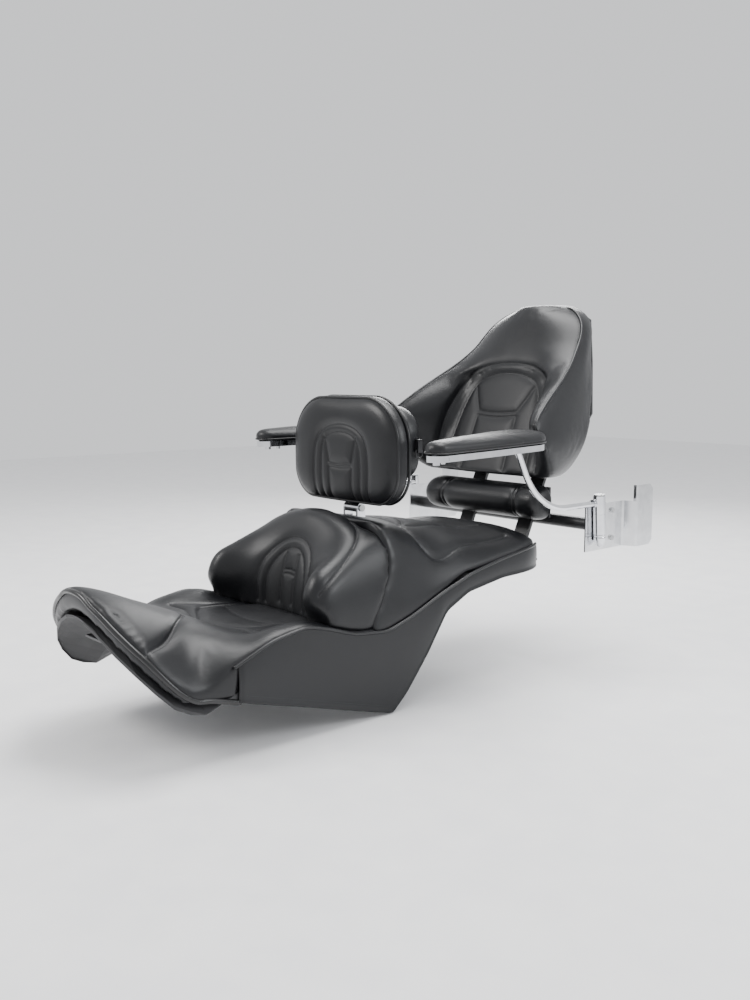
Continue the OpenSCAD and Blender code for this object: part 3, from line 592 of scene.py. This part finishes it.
def cushion(name, rings, body, nodes, voxel, pins, puff, groups, thread=(2.5, -2.5),
            relax=6, depth=2.2, dip=2.4, dip_width=11.0, closed=False):
    """A stuffed vinyl body. groups holds (seams as lists of chosen points, ray direction)."""
    obj = lofted(name, rings, VINYL, closed)
    remeshed(obj, voxel)
    relaxed(obj, relax)
    dense = [([along(line) for line in lines], direction) for lines, direction in groups]

    def laid():
        tree = tree_of(obj)
        return [s for lines, direction in dense for s in snapped(obj, lines, direction, tree)]
    seams = laid()
    pts = points_of(obj)
    pinned = pins(pts) | (near(pts, [s[0] for s in seams]) < 4.5)
    puffed(obj, pinned, *puff)
    relaxed(obj, 2)
    subdivided(obj)
    if seams:
        carved(obj, laid(), depth=depth, dip=dip, dip_width=dip_width)
        seams = laid()
        if thread:
            threads = stitches(name + "_thread", seams, THREAD, thread)
            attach(threads, body)
    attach(obj, body)
    if nodes:
        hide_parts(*nodes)
    return obj


def plain(obj, body, slot, *nodes):
    """Attaches a piece that isn't padded to its body and hides the CAD nodes it stands in for."""
    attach(obj, body)
    if nodes:
        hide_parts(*nodes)
    return obj


def both(points):
    """A left-hand line from its far end to the middle, then back mirrored."""
    back = mirrored(points)[::-1]
    return list(points) + back[1 if points[-1][0] == 0 else 0:]


DOWN, BACKWARDS, INWARDS, RIGHTWARDS = (0, 0, -1), (0, 1, 0), (-1, 0, 0), (1, 0, 0)

# Rider saddle
rider_ys = np.concatenate([[6.5, 8, 10, 13, 17, 22, 28, 35, 44, 54], np.arange(66, 551, 9.0), [551]])


def rider_ring(y):
    w = float(plan_w(np.array(y)))
    edge = float(rider_top(np.array([w]), np.array([y]))[0])
    rim = edge - mix(9, 24, float(ease((y - 50) / 88)))
    if y < NOSE_END:
        low = rim
    elif y < QUARTER_SEAM - 1:
        low = float(skirt_line(y))
    else:
        low = float(welt_line(y)) - 7

    def under(x, yy):
        thickness = mix(13, 26, ease((yy - 40) / 120))
        return np.minimum(rider_floor(yy) - arch_line(yy) * x * x + 1, rider_top(x, yy) - thickness)
    return section(w, rider_top, min(low, edge - 7), under, y)


SHIELD = both([(-170, 44, 300), (-138, 102, 300), (-83, 158, 300), (-30, 200, 300), (0, 210, 300)])
OUTER_V = both([(-120, 440, 300), (-116, 350, 300), (-146, 275, 300), (-98, 281, 300),
                (-45, 263, 300), (0, 240, 300)])
INNER_V = both([(-100, 440, 300), (-98, 340, 300), (-94, 308, 300), (-40, 275, 300), (0, 257, 300)])
CROSS = both([(-97, 368, 300), (-40, 358, 300), (0, 355, 300)])

rider = cushion(
    "rider_saddle", [rider_ring(y) for y in rider_ys], "seat", ["rider_foam", "rider_cover"], 6.0,
    lambda p: (p[:, 2] < rider_top(p[:, 0], p[:, 1]) - 9) | (p[:, 1] > 520) | (p[:, 1] < 24),
    (3.0, 5.0), [([SHIELD, OUTER_V, INNER_V, CROSS], DOWN)])
inlaid(rider, [q[:2] for q in INNER_V], keep=lambda c: c[:, 2] > 60)

# Passenger cushion
passenger_ys = np.concatenate([[547, 549, 553, 560, 570], np.arange(587, 985, 9.0),
                               [990, 997, 1003, 1008, 1013, 1017, 1020, 1022]])


def passenger_ring(y):
    w = float(plan_w(np.array(y))) - 22 * max(0, (y - 985) / 37) ** 3
    low = float(welt_line(y)) - 7
    low = max(low, float(passenger_floor(y)) + 4)
    ring = section(w, passenger_top, low, lambda x, yy: passenger_floor(yy) + 0 * x, y)
    ring[:, 1] += flank_shift(*ring.T)
    return ring


P_OUTER = both([(-160, 930, 400), (-166, 790, 400), (-176, 690, 400), (-122, 659, 400),
                (-50, 686, 400), (0, 702, 400)])
P_INNER = both([(-78, 930, 400), (-80, 800, 400), (-97, 686, 400), (-60, 712, 400),
                (0, 745, 400)])
P_CROSS = both([(-79, 822, 400), (-40, 828, 400), (0, 830, 400)])
passenger = cushion(
    "passenger_cushion", [passenger_ring(y) for y in passenger_ys], "seat",
    ["passenger_foam", "passenger_cover"], 6.5,
    lambda p: (p[:, 2] < welt_line(p[:, 1]) + 8) | (p[:, 1] < 580) | (p[:, 1] > 1010),
    (3.0, 5.0), [([P_OUTER, P_INNER, P_CROSS], DOWN)])
inlaid(passenger, [q[:2] for q in P_OUTER], keep=lambda c: c[:, 2] > 200)

# Rider bolster
FACE_MID = along([(450, 95), (460, 180), (500, 280), (525, 295), (555, 293)], 4)
FACE_SIDE = along([(395, 110), (375, 155), (395, 200), (435, 217), (510, 240), (555, 250)], 4)


def resampled(path, count):
    k = np.linspace(0, len(path) - 1, count)
    return np.stack([np.interp(k, np.arange(len(path)), path[:, c]) for c in (0, 1)], axis=1)


FACE_MID, FACE_SIDE = resampled(FACE_MID, 44), resampled(FACE_SIDE, 44)


def bolster_ring(x):
    q = min(1, abs(x) / 152)
    front = max(376, 462 - 138 * (1 - math.sqrt(1 - 0.9 * q * q)))
    fy, fz = (462 - front) / 86, min(1.15, abs(x) / 170) ** 1.8
    y = mix(FACE_MID[:, 0], FACE_SIDE[:, 0], fy)
    z = mix(FACE_MID[:, 1], FACE_SIDE[:, 1], fz)
    edge = clamp01((abs(x) - 140) / 62)
    y = y + 30 * clamp01((abs(x) - 165) / 37) ** 2 * clamp01((552 - y) / 120)
    base = rider_top(np.full_like(y, x), y) - 3
    z = base + np.maximum(z - base, 2) * (1 - edge**3) ** (1 / 2.2) + 4
    under_y = y[::-1][::4]
    under = np.stack([np.full_like(under_y, x), under_y,
                      rider_top(np.full_like(under_y, x), under_y) - 6], axis=1)
    ring = np.vstack([np.stack([np.full_like(y, x), y, z], axis=1), under])
    ring[:, 1] += flank_shift(*ring.T)
    return ring


bolster_xs = 203 * np.sin(np.linspace(-1, 1, 61) * math.pi / 2)


def arch(half_w, foot, crown, points=9):
    """A round-headed arch on the bolster's face, from its left foot over the crown to the right."""
    turn = np.linspace(-math.pi / 2, math.pi / 2, points)
    head = [(half_w * math.sin(t), 300, crown - 80 * (1 - math.cos(t))) for t in turn]
    return [(-half_w, 300, foot)] + head + [(half_w, 300, foot)]


def horn_seam(angle):
    """A point of the double seam that rounds the bolster's horn, by its angle round the roll."""
    return 90 + 95 * math.sin(angle), 390 + 155 * math.cos(angle), 170 + 115 * math.cos(angle)


B_OUTER = arch(80, 110, 245)
B_INNER = arch(60, 110, 225)
B_CROSS = [(-20, 300, 180), (0, 300, 182), (20, 300, 180)]
B_CROSS2 = [(-20, 300, 172), (0, 300, 174), (20, 300, 172)]
B_SIDE = [(-20, 300, 215), (-20, 300, 170), (-20, 300, 115)]
B_HORN = [horn_seam(angle) for angle in np.radians(np.arange(0, 91, 15))]

bolster = cushion(
    "rider_bolster", [bolster_ring(x) for x in bolster_xs], "seat",
    ["bolster_foam", "bolster_cover"], 5.5,
    lambda p: (p[:, 2] < rider_top(p[:, 0], p[:, 1]) + 7) | (p[:, 1] > 530),
    (2.6, 4.0), [([B_OUTER, B_INNER, B_CROSS, B_CROSS2, B_SIDE, mirrored(B_SIDE)], BACKWARDS),
                 ([B_HORN, mirrored(B_HORN)], None)], relax=10)
inlaid(bolster, [(q[0], q[2]) for q in B_INNER], (0, 2), lambda c: c[:, 1] < 500)

# Lumbar roll
roll_angles = np.radians(np.linspace(-90, 90, 22))


def roll_ring(x):
    end = (1 - clamp01((abs(x) - 150) / 32) ** 2.6) ** 0.42
    z = 281 + 40 * end * np.sin(roll_angles)
    y = 1064 - 62 * np.abs(np.cos(roll_angles)) ** 0.72 * (0.35 + 0.65 * end)
    front = np.stack([np.full_like(z, x), y, z], axis=1)
    back = front[::-1][1:-1:3].copy()
    back[:, 1] = 1065.5
    return np.vstack([front, back])


roll_xs = np.concatenate([[-181.8, -180, -176, -170], np.linspace(-160, 160, 33), [170, 176, 180, 181.8]])
R_SEAM = [(113, 900, 246), (117, 900, 281), (113, 900, 318)]
R_SEAM2 = [(104, 900, 246), (107, 900, 281), (104, 900, 318)]
cushion("lumbar_roll", [roll_ring(x) for x in roll_xs], "seat", ["roll_foam", "roll_cover"], 4.5,
        lambda p: p[:, 1] > 1052, (3.0, 4.0),
        [([R_SEAM, R_SEAM2, mirrored(R_SEAM), mirrored(R_SEAM2)], BACKWARDS)], thread=(2.3,), relax=4)

# Passenger backrest
CREST = np.array([[338, 190, 1046], [352, 214, 1022], [380, 232, 988], [410, 243, 960],
                  [440, 244, 938], [460, 240, 926], [480, 233, 943], [500, 226, 969],
                  [520, 219, 997], [540, 212, 1029], [560, 202, 1065], [580, 191, 1097],
                  [600, 180, 1126], [620, 170, 1151], [640, 161, 1174], [660, 155, 1190],
                  [680, 146, 1204], [700, 130, 1218], [720, 100, 1234], [734, 56, 1247]], float)
crest_w = fair(CREST[:, [0, 1]], 12)
crest_y = fair(CREST[:, [0, 2]], 12)
RECLINE = math.tan(math.radians(25))


def shell_y(z):
    return 1040 + (z - 148) * RECLINE - 11.4


def recess_w(z):
    top = 118 * np.sqrt(clamp01((592 - z) / 32))
    return np.where(z > 560, top, mix(160, 118, (z - 338) / 222))


def back_front(x, z):
    """The cushion's front face: a flat middle inside a horseshoe that bulges forward."""
    w, edge, rec = float(crest_w(z)), float(crest_y(z)), float(recess_w(z))
    a = np.abs(x)
    flat = 1030 + 0.42 * (z - 360) - 8 * (1 - clamp01(a / max(rec, 60)) ** 2)
    s = clamp01((a - rec) / max(w - rec, 1))
    wing = mix(flat, edge, mix(ease(s), np.sin(s * math.pi / 2), 0.6)) - 12 * np.sin(s * math.pi)
    top = mix(1030 + 0.42 * 232 + (z - 592) * 0.55 - 18, edge, clamp01(a / w) ** 2.6)
    return mix(wing, top, ease((z - 560) / 56))


def back_ring(z):
    w, y1 = float(crest_w(z)), shell_y(z)
    t = np.sin(np.linspace(-1, 1, 75) * math.pi / 2)
    x = t * w
    y = np.minimum(back_front(x, z), y1 - 14)
    front = np.stack([x, y, np.full_like(x, z)], axis=1)
    k = np.linspace(0, 1, 9)[1:]
    edge = float(crest_y(z))
    right = np.stack([mix(w, 0.84 * w, k) + 7 * np.sin(k * math.pi), mix(min(edge, y1 - 14), y1, k),
                      np.full_like(k, z)], axis=1)
    left = right[::-1] * [-1, 1, 1]
    return np.vstack([front, right, left])


back_zs = np.concatenate([[338, 341, 346], np.arange(353, 728, 7.0), [729, 732, 734.5]])
K_OUTER = both([(-158, 800, 352), (-152, 800, 430), (-140, 800, 500), (-120, 800, 556),
                (-80, 800, 586), (0, 800, 597)])
K_BORDER = both([(-128, 800, 352), (-122, 800, 430), (-112, 800, 500), (-92, 800, 546),
                 (-55, 800, 566), (0, 800, 573)])
K_CROSS = both([(-60, 800, 484), (-30, 800, 481), (0, 800, 480)])
K_CROSS2 = both([(-60, 800, 474), (-30, 800, 471), (0, 800, 470)])
K_UPPER = [(-93, 800, 545), (-78, 800, 515), (-60, 800, 484)]
K_LOWER = [(-60, 800, 474), (-62, 800, 420), (-66, 800, 352)]
back = cushion(
    "back_cushion", [back_ring(z) for z in back_zs], "seat", ["back_foam", "back_cover"], 6.5,
    lambda p: (p[:, 1] > shell_y(p[:, 2]) - 25) | (p[:, 2] < 350), (3.0, 6.0),
    [([K_OUTER, K_BORDER, K_CROSS, K_CROSS2, K_UPPER, mirrored(K_UPPER), K_LOWER,
       mirrored(K_LOWER)], BACKWARDS)], relax=7)
inlaid(back, [(q[0], q[2]) for q in K_BORDER], (0, 2), lambda c: c[:, 1] < 1130)


def crest_line(side):
    zs = np.arange(402, 734, 2.0)
    line = np.stack([side * crest_w(zs), crest_y(zs), zs], axis=1)
    return line


CREST_ARCH = np.vstack([crest_line(1), crest_line(-1)[::-1]])
(pts, nrm), = snapped(back, [CREST_ARCH])
plain(tube("back_welt", pts + nrm * 1.2, 3.0, PIPING, nrm=nrm), "seat", "piping", "back_piping")

# ---- Rider backrest -----------------------------------------------------------------------
def pad_loop(y, inset, w=336, h=220, z0=306, r_top=100, r_low=70, step=5):
    corners = [(w / 2 - r_top, z0 + h - r_top, r_top, 90, 0), (w / 2 - r_low, z0 + r_low, r_low, 0, -90),
               (r_low - w / 2, z0 + r_low, r_low, -90, -180), (r_top - w / 2, z0 + h - r_top, r_top, 180, 90)]
    out = []
    for cx, cz, r, a0, a1 in corners:
        a = np.radians(np.arange(a0 - step / 2, a1, -step))
        out.append(np.stack([cx + (r - inset) * np.cos(a), np.full_like(a, y),
                             cz + (r - inset) * np.sin(a)], axis=1))
    return np.vstack(out)


PAD_ROUND = [(589.6, 66), (589.8, 50), (590.6, 36), (592.4, 25), (595.5, 15.5), (599.5, 8.5),
             (605, 3.6), (612, 1), (620, 0), (628, 0.3), (633, 2.5), (634.5, 8), (634.8, 40)]
U_OUT = both([(-83, 500, 312), (-86, 500, 380), (-78, 500, 430), (-50, 500, 458), (0, 500, 468)])
U_SIDE = both([(-60, 500, 312), (-62, 500, 380), (-56, 500, 425), (-36, 500, 446), (0, 500, 452)])
U_UPPER = [(-50, 500, 441), (-42, 500, 412), (-36, 500, 388)]
U_CROSS = [(-36, 500, 388), (0, 500, 386), (36, 500, 388)]
U_CROSS2 = [(-36, 500, 380), (0, 500, 378), (36, 500, 380)]
U_LOWER = [(-36, 500, 380), (-35, 500, 345), (-36, 500, 312)]
pad = cushion(
    "backrest_pad_cushion", [pad_loop(y, i) for y, i in PAD_ROUND], "backrest_pad",
    ["rest_foam", "rest_cover"], 4.5, lambda p: p[:, 1] > 622, (3.6, 5.0),
    [([U_OUT, U_SIDE, U_UPPER, mirrored(U_UPPER), U_CROSS, U_CROSS2, U_LOWER, mirrored(U_LOWER)],
      BACKWARDS)], relax=4)
inlaid(pad, [(q[0], q[2]) for q in U_OUT], (0, 2), lambda c: c[:, 1] < 615)
edge_loop = pad_loop(606, 3, step=2)
(pts, nrm), = snapped(pad, [np.vstack([edge_loop, edge_loop[:1]])])
plain(tube("pad_front_welt", pts[:-1] + nrm[:-1] * 1.0, 2.6, PIPING, closed=True), "backrest_pad", "piping")
plain(tube("pad_rear_welt", pad_loop(634, 2, step=2), 3.0, PIPING, closed=True), "backrest_pad",
      "piping", "rest_piping")

POUCH = dict(w=290, h=150, z0=356, r_top=60, r_low=44)
POUCH_ROUND = [(649, 40), (648.6, 12), (650, 4), (655, 0.5), (665, 0), (676, 0.5), (683, 3), (687.5, 8),
               (689.6, 16), (690, 28), (690, 38)]
FLAP = [(-150, 900, 432), (-90, 900, 446), (0, 900, 452), (90, 900, 446), (150, 900, 432)]
FORWARDS = (0, -1, 0)


def pouch_pins(p):
    """The pouch is held along its front edge and under its flap."""
    return (p[:, 1] < 660) | ((p[:, 2] > 455) & (p[:, 2] < 485) & (p[:, 1] > 680))


cushion("backrest_pouch", [pad_loop(y, i, **POUCH) for y, i in POUCH_ROUND], "backrest_pad",
        ["rest_pouch"], 4.0, pouch_pins,
        (2.0, 3.0), [([FLAP], FORWARDS)], relax=3)

# ---- Armrests -----------------------------------------------------------------------------
RAIL = np.array([(274, 606, 25), (262, 740, 38), (240, 872, 55)], float)
RAIL_Z, RAIL_SLOPE = 414, math.tan(math.radians(1.5))


def rail_loop(z, grow, side, count=120):
    a = np.arange(count) * 2 * math.pi / count
    u = np.stack([np.cos(a), np.sin(a)], axis=1)
    reach = RAIL[:, :2] @ u.T + (RAIL[:, 2:] + grow)
    best = reach.argmax(0)
    xy = RAIL[best, :2] + u * (RAIL[best, 2:] + grow)
    return np.stack([side * xy[:, 0], xy[:, 1], z + (xy[:, 1] - 850) * RAIL_SLOPE], axis=1)


PAD_LEVELS = [(12.5, -8), (12.4, -2.5), (15, 0), (19, 1.5), (24, 1.8), (29, 0.8), (33, -2), (36, -6),
              (38, -11.5), (39, -18), (39.3, -24)]
for side, word in ((1, "left"), (-1, "right")):
    body = "armrest_" + word
    cushion(
        word + "_arm_cushion", [rail_loop(RAIL_Z + h, g, side) for h, g in PAD_LEVELS], body,
        [word + "_arm_pad"], 3.6, lambda p: p[:, 2] < RAIL_Z + 18 + (p[:, 1] - 850) * RAIL_SLOPE,
        (3.0, 2.0), [], relax=3)
    welt = rail_loop(RAIL_Z + 17, 1.2, side, 240)
    plain(tube(word + "_arm_welt", welt, 1.8, PIPING, closed=True, sides=8), body, "piping")
    lean = math.radians(3.5)
    axis = (0, -math.sin(lean), math.cos(lean))
    profile = [(2.0, 0.3), (2.4, 2.2), (4, 4.8), (7, 7.6), (11, 10.1), (15, 11.8), (19, 12.7),
               (23.5, 13.1), (26, 13.1), (26.6, 12.5), (27.6, 12.5), (28.2, 13.1), (31.6, 13.1), (32, 12.7)]
    plain(lathe(word + "_bullet", profile, (side * 293, 1090, 190), axis, CHROME), "seat", "chrome",
          word + "_bullet_cap")

# ---- Side panels, welts and nose trim ----------------------------------------------------
def side_panel(side):
    ys = np.linspace(PANEL_START, 1007, 220)
    rows = []
    for v in np.linspace(0, 1, 34):
        low, high = skirt_line(ys), welt_line(ys) - 5
        z = mix(low, high, v)
        hem = 2.2 * np.exp(-((z - low) / 5) ** 2)
        belly = 3.0 * np.sin(v * math.pi) * clamp01((high - low) / 60)
        seam = 2.4 * np.exp(-((ys - 203) / 3.0) ** 2)
        rows.append(np.stack([plan_w(ys) + belly + hem - seam, ys, z], axis=1))
    grid = np.array(rows)
    grid[:, :, 0] *= side
    return sheet_panel(("left" if side > 0 else "right") + "_side_panel", grid, side * 2.2, VINYL)


for side, word in ((1, "left"), (-1, "right")):
    panel = side_panel(side)
    plain(panel, "seat", "cover_vinyl", word + "_skirt")
    seam = [(side * 300, QUARTER_SEAM, z) for z in np.arange(20, 84, 8.0)]
    ray = INWARDS if side > 0 else RIGHTWARDS
    hem_ys = np.arange(212, 560, 14.0)
    hem_line = np.stack([np.full_like(hem_ys, side * 300), hem_ys, skirt_line(hem_ys) + 11], axis=1)
    rows = snapped(panel, [along(seam), along(hem_line)], ray)
    plain(stitches(word + "_panel_thread", rows, THREAD, (3.0,)), "seat", "piping")
    ys = np.arange(192, 1002, 3.0)
    run = np.stack([side * (plan_w(ys) + 1.6), ys, welt_line(ys) - 5], axis=1)
    name = word + "_welt"
    if side > 0:
        plain(tube(name, run, 3.2, PIPING), "seat", "piping", "welt_piping")
    else:
        plain(tube(name, run, 3.2, PIPING), "seat", "piping")

# Nose rim: from the quarter seam forward round the nose and back
RIM_STATIONS = (206, 180, 158, 138, 124, 110, 97, 85, 72, 60, 50, 40, 32, 24, 18, 13, 9)
NOSE_FRONT = [(-20, 7), (0, 6.5), (20, 7)]
half = [(float(plan_w(np.array(y))) - 2, y) for y in RIM_STATIONS]
rim = along([(-w, y) for w, y in half] + NOSE_FRONT + [(w, y) for w, y in half[::-1]], 3)
on_nose = rim[:, 1] < NOSE_END
rim_drop = np.where(on_nose, mix(8, 22, ease((rim[:, 1] - 50) / 88)), 0)
rim_z = np.where(on_nose, rider_top(rim[:, 0], np.maximum(rim[:, 1], 7)) - rim_drop,
                 skirt_line(rim[:, 1]))
rim = np.column_stack([rim, softened(rim_z, 6)])
plain(tube("nose_rim", rim, 4.4, RIM, squeeze=1.15), "seat", "piping", "nose_trim")

# ---- Stage --------------------------------------------------------------------------------
def floor():
    """A pale plane just under the object's lowest point."""
    gap = 0.5
    corners = np.array([(-6000, -6000, 0), (6000, -6000, 0), (6000, 8000, 0), (-6000, 8000, 0)], float)
    corners[:, 2] = CAD_BOX[0][2] * 1000 + ORIGIN[2] - gap
    m = plastic("floor", (0.86, 0.86, 0.87), (0.9, 0.9, 0.9), (0.55, 0.7), 60.0, 0.02)
    return new_object("floor", corners, [[0, 1, 2, 3]], m, smooth=False)


floor()


def area_light(name, place, target, size, power, colour=(1, 1, 1)):
    data = bpy.data.lights.new(name, "AREA")
    data.shape = "RECTANGLE"
    data.size, data.size_y = size
    data.energy = power
    data.color = colour
    obj = bpy.data.objects.new(name, data)
    obj.location = place
    obj.rotation_euler = (Vector(target) - Vector(place)).to_track_quat("-Z", "Y").to_euler()
    SCENE.collection.objects.link(obj)


area_light("overhead", (0.1, 0.3, 2.7), (0, -0.1, 0.1), (2.2, 1.3), 95)
area_light("key", (-1.2, -2.3, 2.0), (0, -0.3, 0.15), (1.2, 0.9), 52, (1, 0.985, 0.97))
area_light("side", (2.4, 0.9, 1.5), (0.1, 0.1, 0.1), (0.9, 1.1), 34, (0.96, 0.98, 1))
area_light("rim", (-1.5, 1.9, 1.5), (0, 0, 0.3), (1.2, 0.9), 40)

world = bpy.data.worlds.new("studio")
SCENE.world = world
world.use_nodes = True
background = world.node_tree.nodes["Background"]
background.inputs["Color"].default_value = (0.95, 0.96, 0.98, 1)
background.inputs["Strength"].default_value = 1.0

camera = bpy.data.cameras.new("camera")
camera.lens = 35.51
camera.sensor_width = 36
eye, target = Vector((1.569, -1.595, 0.420)), Vector((0, -0.210, 0.1546))
camera_object = bpy.data.objects.new("camera", camera)
camera_object.location = eye
camera_object.rotation_euler = (target - eye).to_track_quat("-Z", "Y").to_euler()
SCENE.collection.objects.link(camera_object)
SCENE.camera = camera_object

bpy.context.view_layer.update()
